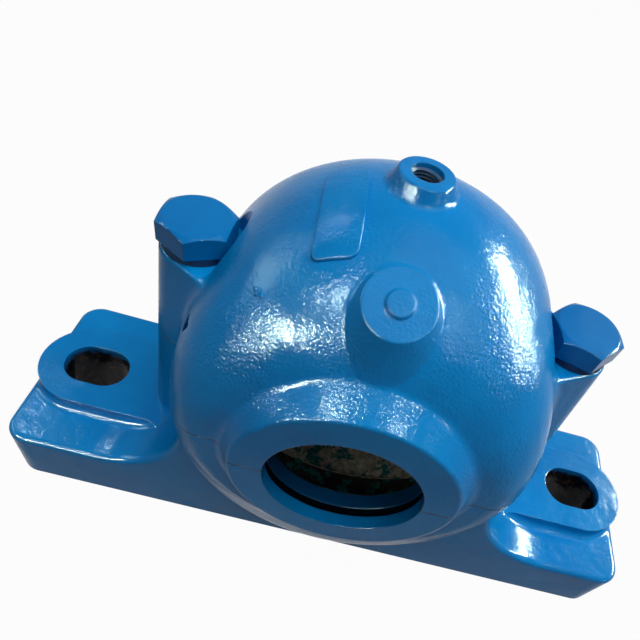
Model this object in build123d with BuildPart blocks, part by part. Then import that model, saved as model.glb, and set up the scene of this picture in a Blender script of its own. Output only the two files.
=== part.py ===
from build123d import *
import os
from math import cos, radians, sin, sqrt, tan

# Split two-bolt plummer block housing: cast base and cap, clamped by two cap bolts.
# Frame: X along the base, Y along the shaft, Z up, origin at the middle of the base's underside.

# Foot of the base
base_length = 205
base_width = 60
foot_height = 20
foot_corner_radius = 7
foot_edge_radius = 2
pad_height = 25
pad_width = 31
pad_overhang = 0.3
pad_inner_x = 55
pad_root_fillet = 2.5
pad_edge_radius = 1
slot_end_distance = 17.5
slot_width = 15
slot_length = 20.5
flank_inset = 3.5
flank_sweep_radius = 28

# Barrel round the bearing: elliptical sections along the shaft, rounded off towards both faces
centre_height = 60
barrel_half_width = 50
barrel_rise = 58.2
side_round_length = 20
side_round_depth = 12
face_y = 36.8
toe_drop = 58.4
face_drop = 38

# Shaft ends
housing_width = 84
ring_face_radius = 29
ring_root_radius = 32.5
ring_edge_radius = 1.2
ring_root_fillet = 3
shaft_diameter = 40
shaft_clearance = 0.25
seal_groove_radius = 25
seal_groove_width = 2.4
outer_land = 3.6
inner_land = 4.4

# Bearing chamber
seat_diameter = 85
seat_width = 31
chamber_radius = 37.5

# Cap bolts and their lugs
bolt_spacing = 99
bolt_diameter = 10
bolt_clearance = 0.5
thread_clearance = 0.05
thread_reach = 18
tap_depth = 24
lug_height = 27.5
lug_radius = 8.3
lug_offset = 1
lug_edge_radius = 1.2
lug_flare = 30
lug_root_x = 26
lug_draft = 4.5
lug_root_fillet = 5
base_lug_fillet = 3
pocket_radius = 12.5
head_flats = 17
head_height = 6
head_face_inset = 0.4
head_chamfer_angle = 30
shank_chamfer = 1
head_turn_left = 29.5
head_turn_right = -15
washer_radius = 8.6
washer_thickness = 2
washer_gap = 1.6
washer_clearance = 0.3
washer_turn_left = 130
washer_turn_right = 200

# Locating pins between the halves
dowel_diameter = 5
dowel_length = 14
dowel_x = 44
dowel_y = 20
dowel_clearance = 0.02
dowel_chamfer = 0.5
dowel_end_gap = 0.5

# Bosses on the cap
top_boss_x = -1.5
top_boss_y = 1.4
top_boss_rise = 2.8
top_boss_radius = 6.2
top_boss_depth = 6
top_boss_taper = 25
grease_hole_diameter = 7.2
shoulder_boss_tilt = 30
shoulder_boss_x = -0.9
shoulder_boss_radius = 7.6
shoulder_boss_taper = 40
shoulder_boss_shift = 8.8
shoulder_boss_lift = 0.4
shoulder_boss_depth = 12
spot_radius = 3.2
spot_height = 0.8
spot_taper = 30
boss_root_fillet = 1.5
boss_edge_radius = 0.8

# Derived places
tolerance = 0.1
slot_x = base_length / 2 - slot_end_distance
flank_x = barrel_half_width - flank_inset
crown_height = centre_height + barrel_rise
top_boss_height = crown_height + top_boss_rise
lug_top = centre_height + lug_height
bolt_x = bolt_spacing / 2
bolt_radius = bolt_diameter / 2
bore_radius = shaft_diameter / 2 + shaft_clearance
ring_y = housing_width / 2
groove_outer_y = ring_y - outer_land
groove_inner_y = groove_outer_y - seal_groove_width
chamber_y = groove_inner_y - inner_land
dowel_hole_radius = dowel_diameter / 2 + dowel_clearance
dowel_hole_depth = dowel_length + 2 * dowel_end_gap
dowel_hole_top = centre_height + dowel_hole_depth / 2
shaft_axis = Axis((0, 0, centre_height), (0, 1, 0))
parting = Plane.XY.offset(centre_height)


def half_width_at(y):
    # Half width of the barrel's section at a place along the shaft
    reach = max(0, abs(y) - face_y + side_round_length) / side_round_length
    return barrel_half_width - side_round_depth * (1 - sqrt(max(0, 1 - reach**2)))


# Sections lie closer together towards the faces, where the barrel turns most
turns = (-90, -80, -68, -54, -38, -20, 0, 20, 38, 54, 68, 80, 90)
stations = [face_y * sin(radians(turn)) for turn in turns]

# Barrel of the cap: elliptical sections whose tops follow a full round from face to face
with BuildPart() as cap_barrel:
    for y in stations:
        rise = barrel_rise - face_y + sqrt(max(0, face_y**2 - y**2))
        with BuildSketch(Plane.XZ.offset(-y)):
            with Locations((0, centre_height)):
                Ellipse(half_width_at(y), rise)
    loft()
    split(bisect_by=parting, keep=Keep.TOP)

# Barrel of the base: the same sides, its front and rear sloping out from the toe to the shaft ends
with BuildPart() as base_barrel:
    for y in stations:
        slope = max(0, (abs(y) - base_width / 2) / (face_y - base_width / 2))
        with BuildSketch(Plane.XZ.offset(-y)):
            with Locations((0, centre_height)):
                Ellipse(half_width_at(y), toe_drop - slope * (toe_drop - face_drop))
    loft()
    split(bisect_by=parting, keep=Keep.BOTTOM)
    split(bisect_by=Plane.XY, keep=Keep.TOP)

# Seal rings, one at each end of the shaft bore, their flanks carried on into the barrel
ring_slope = (ring_root_radius - ring_face_radius) / (ring_y - face_y)
ring_skirt_radius = ring_face_radius + ring_slope * (ring_y - chamber_y)
with BuildPart() as rings:
    with BuildSketch(parting) as ring_section:
        with BuildLine():
            Polyline(
                (0, chamber_y),
                (0, ring_y),
                (ring_face_radius, ring_y),
                (ring_skirt_radius, chamber_y),
                (0, chamber_y),
            )
        make_face()
        fillet(ring_section.vertices().group_by(Axis.Y)[-1].sort_by(Axis.X)[-1], ring_edge_radius)
    revolve(axis=shaft_axis)
    mirror(about=Plane.XZ)

# Everything hollow round the shaft axis: bore, seal grooves, grease chamber and bearing seat
with BuildPart() as hollow:
    with BuildSketch(parting):
        with BuildLine():
            Polyline(
                (0, 0),
                (0, ring_y + 1),
                (bore_radius, ring_y + 1),
                (bore_radius, groove_outer_y),
                (seal_groove_radius, groove_outer_y),
                (seal_groove_radius, groove_inner_y),
                (bore_radius, groove_inner_y),
                (bore_radius, chamber_y),
                (chamber_radius, chamber_y),
                (chamber_radius, seat_width / 2),
                (seat_diameter / 2, seat_width / 2),
                (seat_diameter / 2, 0),
                (0, 0),
            )
        make_face()
        mirror(about=Plane.XZ)
    revolve(axis=shaft_axis)


def lug_plan(side):
    # Plan of a bolt lug at its top: round the bolt and flared towards the barrel
    root_radius = lug_radius + (bolt_x + lug_offset - lug_root_x) * sin(radians(lug_flare))
    with BuildSketch() as plan:
        with Locations((side * (bolt_x + lug_offset), 0)):
            Circle(lug_radius)
        with Locations((side * lug_root_x, 0)):
            Circle(root_radius)
        make_hull()
    return plan.sketch


# Lugs of both halves, drafted as one column from the cap's lug tops down to the foot
with BuildPart() as lugs:
    with BuildSketch(Plane.XY.offset(lug_top)):
        for side in (-1, 1):
            add(lug_plan(side))
    extrude(amount=foot_height - lug_top, taper=-lug_draft)
    fillet(lugs.faces().group_by(Axis.Z)[-1].edges(), lug_edge_radius)



def half_of(whole, keep):
    # The part of a solid above or below the parting plane
    with BuildPart() as half:
        add(whole)
        split(bisect_by=parting, keep=keep)
    return half.part


def standing_edges(edges):
    # Edges that climb, which leaves out those in the parting plane and round flat tops
    return edges.filter_by(lambda edge: edge.bounding_box().size.Z > 1)


# Plane of the blind boss on the front shoulder of the cap, tangent to the crown behind it
tilt = radians(shoulder_boss_tilt)
crown_centre_z = crown_height - face_y
boss_reach = face_y + shoulder_boss_lift
boss_y = -boss_reach * sin(tilt) - shoulder_boss_shift * cos(tilt)
boss_z = crown_centre_z + boss_reach * cos(tilt) - shoulder_boss_shift * sin(tilt)
boss_plane = Plane(
    origin=(shoulder_boss_x, boss_y, boss_z), x_dir=(1, 0, 0), z_dir=(0, -sin(tilt), cos(tilt))
)

# Blind boss: a shallow cone with a rounded rim, sunk into the shoulder
with BuildPart() as shoulder_boss:
    with BuildSketch(boss_plane):
        Circle(shoulder_boss_radius)
    extrude(amount=-shoulder_boss_depth, taper=-shoulder_boss_taper)
    rim = shoulder_boss.faces().sort_by(Axis(boss_plane.origin, boss_plane.z_dir))[-1]
    fillet(rim.edges(), shoulder_boss_lift)

# Cap casting
with BuildPart() as cap:
    add(cap_barrel.part)
    add(half_of(rings.part, Keep.TOP))
    fillet(standing_edges(cap.edges(Select.NEW)), ring_root_fillet)
    add(half_of(lugs.part, Keep.TOP))
    fillet(standing_edges(cap.edges(Select.NEW)), lug_root_fillet)
    # Pockets that clear the bolt heads
    with BuildSketch(Plane.XY.offset(lug_top)):
        with Locations((-bolt_x, 0), (bolt_x, 0)):
            Circle(pocket_radius)
    extrude(amount=barrel_rise, mode=Mode.SUBTRACT)
    # Tapped boss on the crown and blind boss on the front shoulder
    with BuildSketch(Plane.XY.offset(top_boss_height)):
        with Locations((top_boss_x, top_boss_y)):
            Circle(top_boss_radius)
    extrude(amount=-top_boss_depth, taper=-top_boss_taper)
    fillet(cap.edges(Select.NEW), boss_root_fillet)
    fillet(cap.edges().filter_by(GeomType.CIRCLE).group_by(Axis.Z)[-1], boss_edge_radius)
    add(shoulder_boss.part)
    fillet(cap.edges(Select.NEW), boss_root_fillet)
    with BuildSketch(boss_plane):
        Circle(spot_radius)
    extrude(amount=spot_height, taper=spot_taper)
    add(half_of(hollow.part, Keep.TOP), mode=Mode.SUBTRACT)
    with Locations((-bolt_x, 0, lug_top), (bolt_x, 0, lug_top)):
        Hole(bolt_radius + bolt_clearance, lug_top - centre_height)
    with Locations((top_boss_x, top_boss_y, top_boss_height)):
        Hole(grease_hole_diameter / 2, top_boss_height - centre_height)
    with Locations((-dowel_x, -dowel_y, dowel_hole_top), (dowel_x, dowel_y, dowel_hole_top)):
        Hole(dowel_hole_radius, dowel_hole_depth)

# Base casting
with BuildPart() as base:
    with BuildSketch(Plane.XZ):
        with BuildLine():
            half = base_length / 2
            sweep_x = flank_x + flank_sweep_radius
            sweep_z = foot_height + flank_sweep_radius
            Line((0, 0), (half, 0))
            Line((half, 0), (half, foot_height))
            Line((half, foot_height), (sweep_x, foot_height))
            CenterArc((sweep_x, sweep_z), flank_sweep_radius, 180, 90)
            Line((flank_x, sweep_z), (flank_x, centre_height))
            Line((flank_x, centre_height), (0, centre_height))
            Line((0, centre_height), (0, 0))
        make_face()
        mirror(about=Plane.YZ)
    extrude(amount=base_width / 2, both=True)
    foot_corners = base.edges().filter_by(Axis.Z)
    fillet(foot_corners.group_by(Axis.X)[0] + foot_corners.group_by(Axis.X)[-1], foot_corner_radius)
    rims = base.edges().filter_by(lambda edge: edge.center().Z > foot_height - tolerance)
    long_rims = rims.filter_by(lambda edge: abs(edge.center().Y) > base_width / 2 - foot_corner_radius)
    end_rims = rims.filter_by(lambda edge: abs(edge.center().X) > half - tolerance)
    fillet(end_rims + long_rims.filter_by(lambda edge: abs(edge.center().X) > tolerance), foot_edge_radius)
    # Raised pads round the mounting slots
    pad_end = base_length / 2 + pad_overhang
    pad_length = pad_end - pad_inner_x + pad_width / 2
    pad_x = pad_end - pad_length / 2
    with BuildSketch(Plane.XY.offset(pad_height)):
        with Locations((-pad_x, 0), (pad_x, 0)):
            SlotOverall(pad_length, pad_width)
    extrude(amount=-pad_height)
    pad_sides = base.edges(Select.NEW).filter_by(lambda edge: edge.center().Z < pad_height - tolerance)
    fillet(pad_sides.filter_by(lambda edge: edge.bounding_box().max.Z > foot_height - 1), pad_root_fillet)
    add(base_barrel.part)
    add(half_of(rings.part, Keep.BOTTOM))
    fillet(standing_edges(base.edges(Select.NEW)), ring_root_fillet)
    add(half_of(lugs.part, Keep.BOTTOM))
    fillet(standing_edges(base.edges(Select.NEW)), base_lug_fillet)
    add(half_of(hollow.part, Keep.BOTTOM), mode=Mode.SUBTRACT)
    with BuildSketch():
        with Locations((-slot_x, 0), (slot_x, 0)):
            SlotOverall(slot_length, slot_width)
    extrude(amount=centre_height, mode=Mode.SUBTRACT)
    with Locations((-bolt_x, 0, centre_height), (bolt_x, 0, centre_height)):
        Hole(bolt_radius + thread_clearance, tap_depth)
    with Locations((-dowel_x, -dowel_y, dowel_hole_top), (dowel_x, dowel_y, dowel_hole_top)):
        Hole(dowel_hole_radius, dowel_hole_depth)


def cap_bolt(x, turn):
    # Hexagon bolt with its flats turned as tightened, chamfered round the top of its head
    seat_z = lug_top + washer_thickness
    head_z = seat_z + head_height
    corner = head_flats / 2 / cos(radians(30))
    face_radius = head_flats / 2 - head_face_inset
    drop = (corner - face_radius) * tan(radians(head_chamfer_angle))
    with BuildPart() as bolt:
        with BuildSketch(Plane.XY.offset(seat_z)):
            RegularPolygon(corner, 6, rotation=turn)
        extrude(amount=head_height)
        with BuildSketch(Plane.XZ):
            Polygon(
                (0, seat_z),
                (corner, seat_z),
                (corner, head_z - drop),
                (face_radius, head_z),
                (0, head_z),
                align=None,
            )
        revolve(axis=Axis.Z, mode=Mode.INTERSECT)
        with BuildSketch(Plane.XY.offset(centre_height - thread_reach)):
            Circle(bolt_radius)
        extrude(amount=seat_z - centre_height + thread_reach)
        chamfer(bolt.edges().group_by(Axis.Z)[0], shank_chamfer)
    return Pos(x, 0, 0) * bolt.part


def spring_washer(x, turn):
    # Split ring that lies under a bolt head
    with BuildPart() as washer:
        with BuildSketch(Plane.XY.offset(lug_top)):
            Circle(washer_radius)
            Circle(bolt_radius + washer_clearance, mode=Mode.SUBTRACT)
            with Locations(Rotation(0, 0, turn) * Pos(washer_radius / 2, 0)):
                Rectangle(washer_radius, washer_gap, mode=Mode.SUBTRACT)
        extrude(amount=washer_thickness)
    return Pos(x, 0, 0) * washer.part


def dowel_pin(x, y):
    # Plain locating pin, half in the base and half in the cap
    with BuildPart() as pin:
        with BuildSketch(Plane.XY.offset(centre_height - dowel_length / 2)):
            with Locations((x, y)):
                Circle(dowel_diameter / 2)
        extrude(amount=dowel_length)
        chamfer(pin.edges().filter_by(GeomType.CIRCLE), dowel_chamfer)
    return pin.part


pieces = {
    "housing_base": base.part,
    "housing_cap": cap.part,
    "cap_bolt_left": cap_bolt(-bolt_x, head_turn_left),
    "cap_bolt_right": cap_bolt(bolt_x, head_turn_right),
    "spring_washer_left": spring_washer(-bolt_x, washer_turn_left),
    "spring_washer_right": spring_washer(bolt_x, washer_turn_right),
    "dowel_pin_left": dowel_pin(-dowel_x, -dowel_y),
    "dowel_pin_right": dowel_pin(dowel_x, dowel_y),
}
os.makedirs("parts", exist_ok=True)
for name, piece in pieces.items():
    piece.label = name
    export_step(piece, f"parts/{name}.step")
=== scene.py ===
"""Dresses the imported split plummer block: enamel, machined bore, threads, cast plate and studio."""

import logging
import math
from dataclasses import dataclass, field
from enum import Enum

import bpy
from mathutils import Matrix, Vector


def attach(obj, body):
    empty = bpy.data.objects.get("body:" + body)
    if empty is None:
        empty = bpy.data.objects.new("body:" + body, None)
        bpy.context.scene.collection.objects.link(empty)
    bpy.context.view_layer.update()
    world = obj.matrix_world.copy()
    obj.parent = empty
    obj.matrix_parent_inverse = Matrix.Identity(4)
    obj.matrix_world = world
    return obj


LOG = logging.getLogger("plummer_block")
MILLIMETRE = 0.001
CENTRE_HEIGHT = 60 * MILLIMETRE
FOOT_BLEND = (26 * MILLIMETRE, 36 * MILLIMETRE)
SKIN = 0.2 * MILLIMETRE
SEAT_RADIUS = 42.5 * MILLIMETRE
SEAT_HALF = 16 * MILLIMETRE
CHAMBER_RADIUS = 38 * MILLIMETRE
BORE_RADIUS = 20.25 * MILLIMETRE
GROOVE_RADIUS = 25 * MILLIMETRE
GROOVE_SPAN = (35.9 * MILLIMETRE, 38.5 * MILLIMETRE)
INNER_WALL = 31.6 * MILLIMETRE
SLOT_X = 85 * MILLIMETRE
SLOT_RADIUS = 7.5 * MILLIMETRE
SLOT_STRAIGHT = 5.5 * MILLIMETRE

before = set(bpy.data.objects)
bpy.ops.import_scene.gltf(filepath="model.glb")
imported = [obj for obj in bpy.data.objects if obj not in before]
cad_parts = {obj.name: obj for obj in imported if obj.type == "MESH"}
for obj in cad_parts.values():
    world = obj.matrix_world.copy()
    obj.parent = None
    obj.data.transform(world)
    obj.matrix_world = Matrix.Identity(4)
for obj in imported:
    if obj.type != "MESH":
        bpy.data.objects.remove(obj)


class LampKind(Enum):
    """What a lamp does: soft lamps light the object, glints only show in its gloss."""

    SOFT = "soft"
    GLINT = "glint"


def deselect_all() -> None:
    """Clears the selection, because every operator acts on all that is selected."""
    if bpy.context.object is not None and bpy.context.object.mode != "OBJECT":
        bpy.ops.object.mode_set(mode="OBJECT")
    bpy.ops.object.select_all(action="DESELECT")


def make_active(piece: bpy.types.Object) -> None:
    """Selects one piece alone and makes it the active one.

    Args:
        piece: The object that the next operators act on.
    """
    deselect_all()
    piece.select_set(True)
    bpy.context.view_layer.objects.active = piece


def settle(piece: bpy.types.Object) -> None:
    """Moves a finished piece's place into its mesh, so that its object sits at the origin.

    Args:
        piece: The finished mesh object.
    """
    make_active(piece)
    bpy.ops.object.transform_apply(location=True, rotation=True, scale=True)


def apply_modifier(piece: bpy.types.Object, kind: str, **settings: object) -> None:
    """Adds one modifier, sets it up and applies it.

    Args:
        piece: The object that is changed.
        kind: Blender's name for the kind of modifier.
        **settings: Values given to the modifier's own properties.
    """
    make_active(piece)
    modifier = piece.modifiers.new(kind.title(), kind)
    for name, value in settings.items():
        setattr(modifier, name, value)
    bpy.ops.object.modifier_apply(modifier=modifier.name)


class NodeSheet:
    """A material's node tree with short ways to add and join nodes."""

    def __init__(self, name: str) -> None:
        """Starts an empty material with a shader and Object coordinates.

        Args:
            name: The material's name.
        """
        self.material = bpy.data.materials.new(name)
        self.material.use_nodes = True
        self.tree = self.material.node_tree
        self.shader = self.tree.nodes["Principled BSDF"]
        self.place = self.tree.nodes.new("ShaderNodeTexCoord").outputs["Object"]

    def join(self, source: bpy.types.NodeSocket, target: bpy.types.NodeSocket) -> None:
        """Links one socket to another.

        Args:
            source: The output socket.
            target: The input socket.
        """
        self.tree.links.new(source, target)

    def math(self, operation: str, *values: object) -> bpy.types.NodeSocket:
        """Adds a Math node.

        Args:
            operation: The operation's name, such as MULTIPLY.
            *values: Numbers or sockets for the inputs, in order.

        Returns:
            The node's output socket.
        """
        node = self.tree.nodes.new("ShaderNodeMath")
        node.operation = operation
        for slot, value in zip(node.inputs, values):
            if isinstance(value, bpy.types.NodeSocket):
                self.join(value, slot)
            else:
                slot.default_value = value
        return node.outputs[0]

    def parts(self) -> tuple[bpy.types.NodeSocket, ...]:
        """Splits the piece's coordinates into three numbers.

        Returns:
            The X, Y and Z sockets.
        """
        node = self.tree.nodes.new("ShaderNodeSeparateXYZ")
        self.join(self.place, node.inputs[0])
        return tuple(node.outputs)

    def reach(self, first: bpy.types.NodeSocket, second: bpy.types.NodeSocket) -> bpy.types.NodeSocket:
        """Measures a distance from its two sides.

        Args:
            first: One side's socket.
            second: The other side's socket.

        Returns:
            The distance's socket.
        """
        squares = [self.math("MULTIPLY", side, side) for side in (first, second)]
        return self.math("SQRT", self.math("ADD", *squares))

    def within(self, value: bpy.types.NodeSocket, low: float, high: float) -> bpy.types.NodeSocket:
        """Marks where a value lies between two limits.

        Args:
            value: The value's socket.
            low: The lower limit.
            high: The upper limit.

        Returns:
            A socket that is 1 between the limits and 0 elsewhere.
        """
        above = self.math("GREATER_THAN", value, low)
        return self.math("MULTIPLY", above, self.math("LESS_THAN", value, high))

    def noise(self, grain: float, detail: float = 3, roughness: float = 0.5) -> bpy.types.NodeSocket:
        """Adds a noise pattern.

        Args:
            grain: Size of its coarsest feature, in metres.
            detail: How many finer layers it has.
            roughness: How strong the finer layers are.

        Returns:
            The pattern's value socket.
        """
        node = self.tree.nodes.new("ShaderNodeTexNoise")
        node.inputs["Scale"].default_value = 1 / grain
        node.inputs["Detail"].default_value = detail
        node.inputs["Roughness"].default_value = roughness
        self.join(self.place, node.inputs["Vector"])
        return node.outputs["Fac"]

    def ramp(self, value: bpy.types.NodeSocket, low: float, high: float,
             start: float = 0, end: float = 1) -> bpy.types.NodeSocket:
        """Maps a value smoothly from one range to another and holds it there.

        Args:
            value: The value's socket.
            low: Where the input range begins.
            high: Where the input range ends.
            start: The result at low.
            end: The result at high.

        Returns:
            The result's socket.
        """
        node = self.tree.nodes.new("ShaderNodeMapRange")
        node.interpolation_type = "SMOOTHSTEP"
        for name, number in zip(("From Min", "From Max", "To Min", "To Max"), (low, high, start, end)):
            node.inputs[name].default_value = number
        self.join(value, node.inputs["Value"])
        return node.outputs[0]

    def mix(self, factor: object, first: object, second: object) -> bpy.types.NodeSocket:
        """Mixes two colours.

        Args:
            factor: Number or socket, 0 for the first colour and 1 for the second.
            first: A colour or a socket.
            second: A colour or a socket.

        Returns:
            The mixed colour's socket.
        """
        node = self.tree.nodes.new("ShaderNodeMix")
        node.data_type = "RGBA"
        for name, value in (("Factor_Float", factor), ("A_Color", first), ("B_Color", second)):
            slot = next(slot for slot in node.inputs if slot.identifier == name)
            if isinstance(value, bpy.types.NodeSocket):
                self.join(value, slot)
            elif name == "Factor_Float":
                slot.default_value = value
            else:
                slot.default_value = (*value, 1)
        return next(slot for slot in node.outputs if slot.identifier == "Result_Color")

    def bump(self, height: bpy.types.NodeSocket, distance: float, strength: float = 1,
             under: bpy.types.NodeSocket | None = None) -> bpy.types.NodeSocket:
        """Adds a bump.

        Args:
            height: The height pattern's socket.
            distance: Height of the pattern at full value, in metres.
            strength: Share of the bump that shows.
            under: Normal of a coarser bump below this one.

        Returns:
            The normal's socket.
        """
        node = self.tree.nodes.new("ShaderNodeBump")
        node.inputs["Distance"].default_value = distance
        node.inputs["Strength"].default_value = strength
        self.join(height, node.inputs["Height"])
        if under is not None:
            self.join(under, node.inputs["Normal"])
        return node.outputs[0]

    def soft_edge(self, radius: float) -> bpy.types.NodeSocket:
        """Rounds sharp edges in the shading, as paint does.

        Args:
            radius: Radius of the rounding, in metres.

        Returns:
            The normal's socket.
        """
        node = self.tree.nodes.new("ShaderNodeBevel")
        node.samples = 6
        node.inputs["Radius"].default_value = radius
        return node.outputs[0]

    def finish(self, color: object, roughness: object, normal: bpy.types.NodeSocket | None = None,
               metallic: object = 0.0, **constants: object) -> bpy.types.Material:
        """Sets the shader's sockets.

        Args:
            color: Colour or socket.
            roughness: Number or socket.
            normal: The bump's normal, if there is one.
            metallic: Number or socket.
            **constants: Plain values for other sockets, with underscores for spaces.

        Returns:
            The finished material.
        """
        for name, value in (("Base Color", color), ("Roughness", roughness), ("Metallic", metallic)):
            slot = self.shader.inputs[name]
            if isinstance(value, bpy.types.NodeSocket):
                self.join(value, slot)
            else:
                slot.default_value = (*value, 1) if name == "Base Color" else value
        for name, value in constants.items():
            self.shader.inputs[name.replace("_", " ")].default_value = value
        if normal is not None:
            self.join(normal, self.shader.inputs["Normal"])
        return self.material


Color = tuple[float, float, float]


@dataclass(frozen=True)
class CastEnamel:
    """Gloss enamel brushed over rough cast iron, with the bore and slots left partly bare, and painted shade
    in the slots, chamber, seal grooves and bore lands.
    """

    name: str
    color: Color = (0.001, 0.215, 0.55)
    deep: Color = (0.001, 0.175, 0.48)
    gloss: float = 0.17
    grain: float = 0.7 * MILLIMETRE
    relief: float = 0.19 * MILLIMETRE
    edge_radius: float = 0.5 * MILLIMETRE
    coat: float = 0.07
    coat_roughness: float = 0.1
    specular: float = 0.02
    patch_size: float = 35 * MILLIMETRE
    calm_size: float = 16 * MILLIMETRE
    calm_share: float = 0.3
    ripple_size: float = 9 * MILLIMETRE
    ripple_height: float = 0.5 * MILLIMETRE
    ripple_strength: float = 0.5
    line_width: tuple[float, float] = (0.12 * MILLIMETRE, 0.3 * MILLIMETRE)
    line_color: Color = (0.001, 0.012, 0.04)
    slot_margin: float = 0.15 * MILLIMETRE
    slot_rim: tuple[float, float] = (24 * MILLIMETRE, 27 * MILLIMETRE)
    slot_drip: float = 5 * MILLIMETRE
    # painted shade: near black for the walls inside the mounting slots
    slot_painted_shade: Color = (0.003, 0.004, 0.009)
    slot_rust: Color = (0.05, 0.032, 0.02)
    steel_dull: Color = (0.16, 0.12, 0.1)
    steel_bright: Color = (0.34, 0.29, 0.25)
    # painted shade: near black for the chamber walls beside the seat
    chamber_painted_shade: Color = (0.012, 0.01, 0.009)
    paint_mist: Color = (0.0, 0.07, 0.075)
    groove_margin: float = 0.3 * MILLIMETRE
    # painted shade: near black for the seal grooves
    groove_painted_shade: Color = (0.003, 0.006, 0.014)
    # painted shade: darker blue on the bore lands, stronger deeper in the bore
    land_painted_shade: Color = (0.001, 0.016, 0.055)
    land_share: tuple[float, float] = (0.88, 0.4)
    bare_roughness: float = 0.25
    bare_metallic: float = 0.2

    def material(self) -> bpy.types.Material:
        """Builds the enamel's nodes.

        Returns:
            The finished material.
        """
        sheet = NodeSheet(self.name)
        patches = sheet.noise(self.patch_size, 4, 0.6)
        color = sheet.mix(sheet.ramp(patches, 0.38, 0.7), self.color, self.deep)
        grit = sheet.noise(self.grain, 2, 0.6)
        calm = sheet.ramp(sheet.noise(self.calm_size, 2), 0.35, 0.65, self.calm_share, 1)
        normal = sheet.soft_edge(self.edge_radius)
        ripple = sheet.noise(self.ripple_size, 2, 0.4)
        normal = sheet.bump(ripple, self.ripple_height, self.ripple_strength, normal)
        coarse = sheet.noise(self.grain * 4, 2, 0.4)
        normal = sheet.bump(coarse, self.relief, self.ripple_strength, normal)
        height = sheet.parts()[-1]
        smooth_foot = sheet.ramp(height, *FOOT_BLEND, self.calm_share, 1)
        grain = sheet.math("MULTIPLY", grit, sheet.math("MULTIPLY", calm, smooth_foot))
        normal = sheet.bump(grain, self.relief, 1, normal)
        rough = sheet.ramp(grit, 0.3, 0.75, self.gloss * 0.7, self.gloss * 1.4)
        color = self.slot_rust_and_shade(sheet, color)
        color = self.joint_line(sheet, color)
        color, rough, metallic = self.bore_bare_and_shade(sheet, color, rough)
        sheet.join(normal, sheet.shader.inputs["Coat Normal"])
        return sheet.finish(color, rough, normal, metallic, Specular_IOR_Level=self.specular,
                            Coat_Weight=self.coat, Coat_Roughness=self.coat_roughness)

    def joint_line(self, sheet: NodeSheet, color: bpy.types.NodeSocket) -> bpy.types.NodeSocket:
        """Darkens the hairline where cap and base meet, broken where paint fills it.

        Args:
            sheet: The material being built.
            color: The enamel's colour.

        Returns:
            The colour's socket.
        """
        height = sheet.parts()[-1]
        away = sheet.math("ABSOLUTE", sheet.math("SUBTRACT", height, CENTRE_HEIGHT))
        line = sheet.ramp(away, *self.line_width, 1, 0)
        open_places = sheet.ramp(sheet.noise(7 * MILLIMETRE, 3, 0.7), 0.3, 0.45)
        return sheet.mix(sheet.math("MULTIPLY", line, open_places), color, self.line_color)

    def slot_rust_and_shade(self, sheet: NodeSheet, color: bpy.types.NodeSocket) -> bpy.types.NodeSocket:
        """Paints the walls of the mounting slots near black as painted shade, with rusty patches showing
        through.

        Args:
            sheet: The material being built.
            color: The enamel's colour.

        Returns:
            The colour's socket.
        """
        x, y, z = sheet.parts()
        along = sheet.math("ABSOLUTE", sheet.math("SUBTRACT", sheet.math("ABSOLUTE", x), SLOT_X))
        beyond = sheet.math("MAXIMUM", sheet.math("SUBTRACT", along, SLOT_STRAIGHT / 2), 0)
        wall = sheet.math("LESS_THAN", sheet.reach(beyond, y), SLOT_RADIUS + self.slot_margin)
        ragged = sheet.noise(3 * MILLIMETRE, 4, 0.7)
        depth = sheet.math("ADD", z, sheet.math("MULTIPLY", ragged, self.slot_drip))
        bare = sheet.math("MULTIPLY", wall, sheet.ramp(depth, *self.slot_rim, 1, 0))
        # painted shade: near-black slot walls, with real rust patches mixed in
        rust_and_shade = sheet.mix(sheet.ramp(ragged, 0.52, 0.66), self.slot_painted_shade, self.slot_rust)
        return sheet.mix(bare, color, rust_and_shade)

    def bore_bare_and_shade(self, sheet: NodeSheet, blue: bpy.types.NodeSocket,
                  rough: bpy.types.NodeSocket) -> tuple[bpy.types.NodeSocket, ...]:
        """Leaves the machined seat bare and paints the chamber walls near black as painted shade, with paint
        mist at their edge; the seal grooves are painted near black and the bore lands darkened inwards, also
        as painted shade.

        Args:
            sheet: The material being built.
            blue: The enamel's colour.
            rough: The enamel's roughness.

        Returns:
            Colour, roughness and metallic sockets.
        """
        x, y, z = sheet.parts()
        height = sheet.math("SUBTRACT", z, CENTRE_HEIGHT)
        radius = sheet.reach(x, height)
        along = sheet.math("ABSOLUTE", y)
        mist = sheet.noise(5 * MILLIMETRE, 4, 0.7)
        seat = sheet.math("MULTIPLY", sheet.math("LESS_THAN", radius, SEAT_RADIUS + SKIN),
                          sheet.math("LESS_THAN", along, SEAT_HALF))
        chamber = sheet.math("MULTIPLY", sheet.math("LESS_THAN", radius, CHAMBER_RADIUS),
                             sheet.math("LESS_THAN", along, INNER_WALL + SKIN))
        bare = sheet.math("MAXIMUM", seat, chamber)
        turned = sheet.noise(2 * MILLIMETRE, 4, 0.7)
        steel_and_shade = sheet.mix(sheet.ramp(turned, 0.35, 0.7), self.steel_dull, self.steel_bright)
        # painted shade: the chamber walls beside the seat are painted near black
        steel_and_shade = sheet.mix(seat, self.chamber_painted_shade, steel_and_shade)
        sprayed = sheet.mix(sheet.ramp(mist, 0.5, 0.58), steel_and_shade, self.paint_mist)
        in_groove = sheet.within(radius, BORE_RADIUS + self.groove_margin, GROOVE_RADIUS + self.groove_margin)
        groove = sheet.math("MULTIPLY", in_groove, sheet.within(along, *GROOVE_SPAN))
        # painted shade: the bore lands darken towards the inside of the housing
        inside = sheet.math("MULTIPLY", sheet.math("LESS_THAN", radius, BORE_RADIUS + SKIN),
                            sheet.ramp(along, *GROOVE_SPAN, *self.land_share))
        blue = sheet.mix(inside, blue, self.land_painted_shade)
        color = sheet.mix(bare, blue, sprayed)
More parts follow.
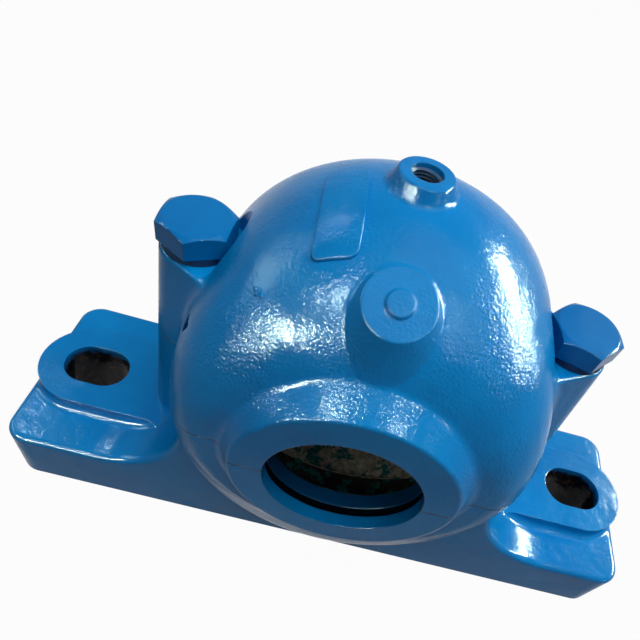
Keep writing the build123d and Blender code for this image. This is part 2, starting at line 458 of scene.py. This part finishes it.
        # painted shade: the seal grooves are painted near black
        color = sheet.mix(groove, color, self.groove_painted_shade)
        rough = sheet.math("ADD", rough, sheet.math("MULTIPLY", bare, self.bare_roughness))
        return color, rough, sheet.math("MULTIPLY", bare, self.bare_metallic)


@dataclass(frozen=True)
class PlainSteel:
    """Steel with a fine turned grain and a little oxide."""

    name: str
    color: Color = (0.42, 0.42, 0.43)
    oxide: Color = (0.16, 0.12, 0.1)
    roughness: float = 0.35
    metallic: float = 0.9
    shine: float = 0.5

    def material(self) -> bpy.types.Material:
        """Builds the steel's nodes.

        Returns:
            The finished material.
        """
        sheet = NodeSheet(self.name)
        spots = sheet.noise(2 * MILLIMETRE, 4, 0.65)
        color = sheet.mix(sheet.ramp(spots, 0.45, 0.75), self.color, self.oxide)
        rough = sheet.ramp(spots, 0.3, 0.8, self.roughness, self.roughness * 1.6)
        normal = sheet.bump(sheet.noise(0.5 * MILLIMETRE, 2), 0.02 * MILLIMETRE)
        return sheet.finish(color, rough, normal, self.metallic, Specular_IOR_Level=self.shine)


@dataclass
class PhotoCamera:
    """The camera at the photograph's place, with its framing."""

    focal: float = 530.2
    centre: tuple[float, float] = (360.3, 401.6)
    place: tuple[float, float, float] = (-11.81, -103.56, 176.84)
    right: tuple[float, float, float] = (0.964, 0.154, 0.218)
    down: tuple[float, float, float] = (0.254, -0.778, -0.574)
    picture: float = 640
    sensor: float = 36
    clip: tuple[float, float] = (0.005, 50)

    def build(self) -> bpy.types.Object:
        """Adds the camera and makes it the scene's.

        Returns:
            The camera object.
        """
        deselect_all()
        bpy.ops.object.camera_add(location=Vector(self.place) * MILLIMETRE)
        camera = bpy.context.object
        camera.name = "photo_camera"
        right = Vector(self.right).normalized()
        up = -Vector(self.down)
        up = (up - right * up.dot(right)).normalized()
        turned = Matrix((right, up, right.cross(up))).transposed()
        camera.rotation_euler = turned.to_euler()
        camera.data.sensor_width = self.sensor
        camera.data.lens = self.focal * self.sensor / self.picture
        half = self.picture / 2
        camera.data.shift_x = (half - self.centre[0]) / self.picture
        camera.data.shift_y = (self.centre[1] - half) / self.picture
        camera.data.clip_start, camera.data.clip_end = self.clip
        bpy.context.scene.camera = camera
        return camera


@dataclass(frozen=True)
class Lamp:
    """One area lamp, placed by its direction from the housing."""

    name: str
    azimuth: float
    elevation: float
    distance: float
    size: tuple[float, float]
    power: float
    kind: LampKind = LampKind.SOFT
    roll: float = 0
    glint_color: Color = (0.75, 1, 0.85)

    def build(self, target: Vector) -> bpy.types.Object:
        """Adds the lamp, turned towards the housing.

        Args:
            target: The point that it lights.

        Returns:
            The lamp object.
        """
        turn, rise = math.radians(self.azimuth), math.radians(self.elevation)
        away = Vector((math.sin(turn) * math.cos(rise), -math.cos(turn) * math.cos(rise), math.sin(rise)))
        deselect_all()
        bpy.ops.object.light_add(type="AREA", location=target + away * self.distance)
        lamp = bpy.context.object
        lamp.name = self.name
        facing = away.to_track_quat("Z", "Y").to_matrix()
        lamp.rotation_euler = (facing @ Matrix.Rotation(math.radians(self.roll), 3, "Z")).to_euler()
        lamp.data.shape = "RECTANGLE"
        lamp.data.size, lamp.data.size_y = self.size
        lamp.data.energy = self.power
        if self.kind is LampKind.GLINT:
            lamp.visible_diffuse = False
            lamp.data.color = self.glint_color
        return lamp


def seen_directly(tree: bpy.types.NodeTree) -> bpy.types.NodeSocket:
    """Tells rays that show the background from those that light the object.

    Args:
        tree: The floor's or the world's node tree.

    Returns:
        A socket that is 1 for camera, glossy and transmission rays.
    """
    path = tree.nodes.new("ShaderNodeLightPath")
    total = path.outputs["Is Camera Ray"]
    for kind in ("Is Glossy Ray", "Is Transmission Ray"):
        node = tree.nodes.new("ShaderNodeMath")
        node.operation = "MAXIMUM"
        tree.links.new(total, node.inputs[0])
        tree.links.new(path.outputs[kind], node.inputs[1])
        total = node.outputs[0]
    return total


@dataclass
class Studio:
    """Pale floor, even daylight and soft lamps."""

    floor_half: float = 3.0
    floor_shade: Color = (0.14, 0.14, 0.14)
    floor_roughness: float = 0.9
    floor_glow: float = 0.97
    sky: float = 0.06
    sky_color: Color = (0.92, 0.96, 1)
    lamps: tuple[Lamp, ...] = (
        Lamp("ceiling", 75, 74, 0.9, (0.8, 0.8), 9.0),
        Lamp("window_right", 116, 28, 0.9, (0.9, 0.45), 1.6),
        Lamp("window_front", -50, 36, 0.9, (0.4, 0.4), 0.9),
        Lamp("glint_right", 108, 25, 0.9, (0.66, 0.18), 150.0, LampKind.GLINT, 20),
        Lamp("glint_front", -38, 19, 0.9, (0.5, 0.1), 95.0, LampKind.GLINT),
        Lamp("glint_high_left", -28, 46, 0.9, (0.26, 0.14), 30.0, LampKind.GLINT),
        Lamp("glint_high_right", 36, 46, 0.9, (0.2, 0.07), 14.0, LampKind.GLINT),
        Lamp("glint_left", -92, 27, 0.9, (0.5, 0.22), 11.0, LampKind.GLINT),
        Lamp("glint_back", -120, 47, 0.9, (0.08, 0.06), 2.6, LampKind.GLINT),
        Lamp("glint_foot", 56, 18, 0.9, (0.06, 0.04), 1.8, LampKind.GLINT),
    )

    def build(self) -> None:
        """Builds the floor, the sky and the lamps."""
        deselect_all()
        bpy.ops.mesh.primitive_plane_add(size=2 * self.floor_half, location=(0, 0, 0))
        floor = bpy.context.object
        floor.name = "floor"
        floor.data.materials.append(self.floor_material())
        world = bpy.data.worlds.new("daylight")
        bpy.context.scene.world = world
        world.use_nodes = True
        nodes, links = world.node_tree.nodes, world.node_tree.links
        plain = nodes["Background"]
        plain.inputs["Color"].default_value = (*self.sky_color, 1)
        plain.inputs["Strength"].default_value = self.sky
        seen = nodes.new("ShaderNodeBackground")
        seen.inputs["Color"].default_value = (1, 1, 1, 1)
        blend = nodes.new("ShaderNodeMixShader")
        links.new(seen_directly(world.node_tree), blend.inputs["Fac"])
        links.new(plain.outputs[0], blend.inputs[1])
        links.new(seen.outputs[0], blend.inputs[2])
        links.new(blend.outputs[0], nodes["World Output"].inputs["Surface"])
        for lamp in self.lamps:
            lamp.build(Vector((0, 0, CENTRE_HEIGHT)))
        LOG.info("studio: floor, daylight and %d lamps", len(self.lamps))

    def floor_material(self) -> bpy.types.Material:
        """Makes the floor white to the camera while it keeps a faint shadow.

        Returns:
            The floor's material.
        """
        material = bpy.data.materials.new("pale_floor")
        material.use_nodes = True
        nodes, links = material.node_tree.nodes, material.node_tree.links
        matte = nodes["Principled BSDF"]
        matte.inputs["Base Color"].default_value = (*self.floor_shade, 1)
        matte.inputs["Roughness"].default_value = self.floor_roughness
        matte.inputs["Specular IOR Level"].default_value = 0
        glow = nodes.new("ShaderNodeEmission")
        glow.inputs["Color"].default_value = (1, 1, 1, 1)
        glow.inputs["Strength"].default_value = 1
        share = nodes.new("ShaderNodeMath")
        share.operation = "MULTIPLY"
        share.inputs[1].default_value = self.floor_glow
        links.new(seen_directly(material.node_tree), share.inputs[0])
        blend = nodes.new("ShaderNodeMixShader")
        links.new(share.outputs[0], blend.inputs["Fac"])
        links.new(matte.outputs[0], blend.inputs[1])
        links.new(glow.outputs[0], blend.inputs[2])
        links.new(blend.outputs[0], nodes["Material Output"].inputs["Surface"])
        return material


@dataclass
class Castings:
    """The two halves of the housing, kept as the CAD made them and dressed in enamel."""

    nodes: tuple[str, ...] = ("housing_base", "housing_cap")
    enamel: CastEnamel = field(default_factory=lambda: CastEnamel("cast_enamel"))

    def dress(self) -> bpy.types.Material:
        """Gives both castings their enamel.

        Returns:
            The enamel, for pieces that share it.
        """
        material = self.enamel.material()
        for name in self.nodes:
            dress_node(name, material)
        LOG.info("castings: %s", ", ".join(self.nodes))
        return material


def dress_node(name: str, material: bpy.types.Material) -> None:
    """Gives a CAD node one material.

    Args:
        name: The node's name.
        material: Its new material.
    """
    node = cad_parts[name]
    for slot in node.material_slots:
        slot.material = material
    if not node.material_slots:
        node.data.materials.append(material)


@dataclass
class CastPlate:
    """Bare low plate cast on the crown, with soft rounded edges that follow the dome."""

    middle: tuple[float, float] = (-16.5 * MILLIMETRE, -8.0 * MILLIMETRE)
    size: tuple[float, float] = (9 * MILLIMETRE, 24 * MILLIMETRE)
    turn: float = 5
    corner: float = 1.8 * MILLIMETRE
    height: float = 0.8 * MILLIMETRE
    sink: float = 0.5 * MILLIMETRE
    edge_share: float = 0.7
    start_height: float = 130 * MILLIMETRE

    def build(self, finish: bpy.types.Material) -> bpy.types.Object:
        """Cuts the plate's outline, lays it on the crown and gives it its thickness.

        Args:
            finish: The casting's enamel.

        Returns:
            The finished plate.
        """
        deselect_all()
        bpy.ops.mesh.primitive_plane_add(size=1, location=(*self.middle, self.start_height),
                                         rotation=(0, 0, math.radians(self.turn)))
        plate = bpy.context.object
        plate.name = "cast_plate"
        plate.scale = (*self.size, 1)
        settle(plate)
        bpy.ops.object.mode_set(mode="EDIT")
        bpy.ops.mesh.select_all(action="SELECT")
        bpy.ops.mesh.bevel(affect="VERTICES", offset=self.corner, segments=6)
        bpy.ops.mesh.select_all(action="SELECT")
        bpy.ops.mesh.inset(thickness=self.corner / 2)
        bpy.ops.mesh.select_all(action="SELECT")
        bpy.ops.mesh.quads_convert_to_tris()
        bpy.ops.mesh.subdivide(number_cuts=6)
        bpy.ops.object.mode_set(mode="OBJECT")
        apply_modifier(plate, "SHRINKWRAP", target=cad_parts["housing_cap"], wrap_method="PROJECT",
                       use_project_z=True, use_negative_direction=True, use_positive_direction=False)
        bpy.ops.object.mode_set(mode="EDIT")
        bpy.ops.mesh.select_all(action="SELECT")
        bpy.ops.transform.translate(value=(0, 0, -self.sink))
        bpy.ops.mesh.extrude_region_move(TRANSFORM_OT_translate={"value": (0, 0, self.sink + self.height)})
        bpy.ops.mesh.select_all(action="SELECT")
        bpy.ops.mesh.normals_make_consistent(inside=False)
        bpy.ops.object.mode_set(mode="OBJECT")
        apply_modifier(plate, "BEVEL", width=self.height * self.edge_share, segments=3, limit_method="ANGLE",
                       angle_limit=math.radians(50))
        make_active(plate)
        bpy.ops.object.shade_smooth_by_angle(angle=math.radians(40))
        plate.data.materials.append(finish)
        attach(plate, "root")
        LOG.info("cast plate: %d faces", len(plate.data.polygons))
        return plate


@dataclass
class CastingLumps:
    """Small lumps left by the sand mould on the cap, beside the left bolt pocket."""

    places: tuple[tuple[float, float, float], ...] = (
        (-29.4, -23.0, 100.2), (-28.4, -23.8, 100.4), (-27.7, -24.7, 100.1), (-28.9, -24.2, 99.8))
    outward: tuple[float, float, float] = (-0.48, -0.54, 0.69)
    radius: float = 0.6 * MILLIMETRE
    flatness: float = 0.55
    segments: int = 20

    def build(self, finish: bpy.types.Material) -> bpy.types.Object:
        """Sets flattened balls on the surface and joins them.

        Args:
            finish: The casting's enamel.

        Returns:
            The finished lumps.
        """
        turned = Vector(self.outward).to_track_quat("Z", "Y").to_euler()
        lumps = []
        for place in self.places:
            deselect_all()
            bpy.ops.mesh.primitive_uv_sphere_add(
                segments=self.segments, ring_count=self.segments // 2, radius=self.radius,
                location=Vector(place) * MILLIMETRE, rotation=turned)
            lump = bpy.context.object
            lump.scale = (1, 1, self.flatness)
            settle(lump)
            lumps.append(lump)
        deselect_all()
        for lump in lumps:
            lump.select_set(True)
        bpy.context.view_layer.objects.active = lumps[0]
        bpy.ops.object.join()
        joined = bpy.context.object
        joined.name = "casting_lumps"
        settle(joined)
        bpy.ops.object.shade_smooth()
        joined.data.materials.append(finish)
        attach(joined, "root")
        LOG.info("casting lumps: %d", len(self.places))
        return joined


@dataclass
class GreaseThread:
    """Thread turns cut in the grease hole of the crown boss."""

    middle: tuple[float, float] = (-1.5 * MILLIMETRE, 1.4 * MILLIMETRE)
    top: float = 120.6 * MILLIMETRE
    pitch: float = 0.8 * MILLIMETRE
    turns: int = 18
    wall: float = 3.62 * MILLIMETRE
    crest: float = 3.0 * MILLIMETRE
    root_share: float = 0.9
    steps: int = 40
    # painted shade: the thread's blue paint is darkened far below the casting's enamel to stand for the shade
    # inside the hole
    finish: PlainSteel = field(default_factory=lambda: PlainSteel(
        "thread_paint_and_shade", (0.012, 0.06, 0.15), (0.004, 0.025, 0.08),
        roughness=0.3, metallic=0.0, shine=0.15))

    def build(self) -> bpy.types.Object:
        """Winds a ridge profile round the hole's axis.

        Returns:
            The finished thread.
        """
        deselect_all()
        low = self.top - self.turns * self.pitch
        root = self.root_share * self.pitch / 2
        corners = ((self.wall, 0, -root), (self.crest, 0, 0), (self.wall, 0, root))
        bpy.ops.mesh.primitive_circle_add(vertices=len(corners), radius=self.crest, location=(0, 0, 0))
        thread = bpy.context.object
        thread.name = "grease_thread"
        for vertex, place in zip(thread.data.vertices, corners):
            vertex.co = place
        bpy.ops.object.mode_set(mode="EDIT")
        bpy.ops.mesh.select_all(action="SELECT")
        bpy.ops.mesh.edge_face_add()
        bpy.ops.object.mode_set(mode="OBJECT")
        apply_modifier(thread, "SCREW", axis="Z", steps=self.steps, render_steps=self.steps,
                       screw_offset=self.pitch, iterations=self.turns - 1, use_merge_vertices=False)
        thread.location = (*self.middle, low + self.pitch / 2)
        settle(thread)
        bpy.ops.object.mode_set(mode="EDIT")
        bpy.ops.mesh.select_all(action="SELECT")
        bpy.ops.mesh.fill_holes(sides=len(corners))
        bpy.ops.mesh.normals_make_consistent(inside=False)
        bpy.ops.object.mode_set(mode="OBJECT")
        bpy.ops.object.shade_smooth_by_angle(angle=math.radians(30))
        thread.data.materials.append(self.finish.material())
        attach(thread, "root")
        LOG.info("grease thread: %d turns, %d faces", self.turns, len(thread.data.polygons))
        return thread


@dataclass
class Fasteners:
    """Cap bolts, spring washers and locating pins."""

    bolt_finish: CastEnamel = field(default_factory=lambda: CastEnamel(
        "bolt_enamel", (0.001, 0.16, 0.44), (0.001, 0.13, 0.38),
        gloss=0.16, grain=2.4 * MILLIMETRE, relief=0.03 * MILLIMETRE))
    # blue paint darkened as painted shade for the washers under the bolt heads
    washer_finish: PlainSteel = field(default_factory=lambda: PlainSteel(
        "washer_steel", (0.003, 0.04, 0.12), (0.002, 0.02, 0.06),
        roughness=0.6, metallic=0.0, shine=0.02))
    pin_finish: PlainSteel = field(default_factory=lambda: PlainSteel("pin_steel"))

    def dress(self) -> None:
        """Gives each fastener its finish."""
        for kind, finish in (("cap_bolt", self.bolt_finish), ("spring_washer", self.washer_finish),
                             ("dowel_pin", self.pin_finish)):
            material = finish.material()
            for side in ("left", "right"):
                dress_node(f"{kind}_{side}", material)
        LOG.info("fasteners: bolts, washers and pins")


def main() -> None:
    """Builds the dressed housing in order."""
    logging.basicConfig(level=logging.INFO, format="%(name)s: %(message)s")
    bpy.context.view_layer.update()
    bpy.context.scene.view_settings.view_transform = "Standard"
    enamel = Castings().dress()
    CastPlate().build(enamel)
    CastingLumps().build(enamel)
    GreaseThread().build()
    Fasteners().dress()
    Studio().build()
    PhotoCamera().build()


if __name__ == "__main__":
    main()
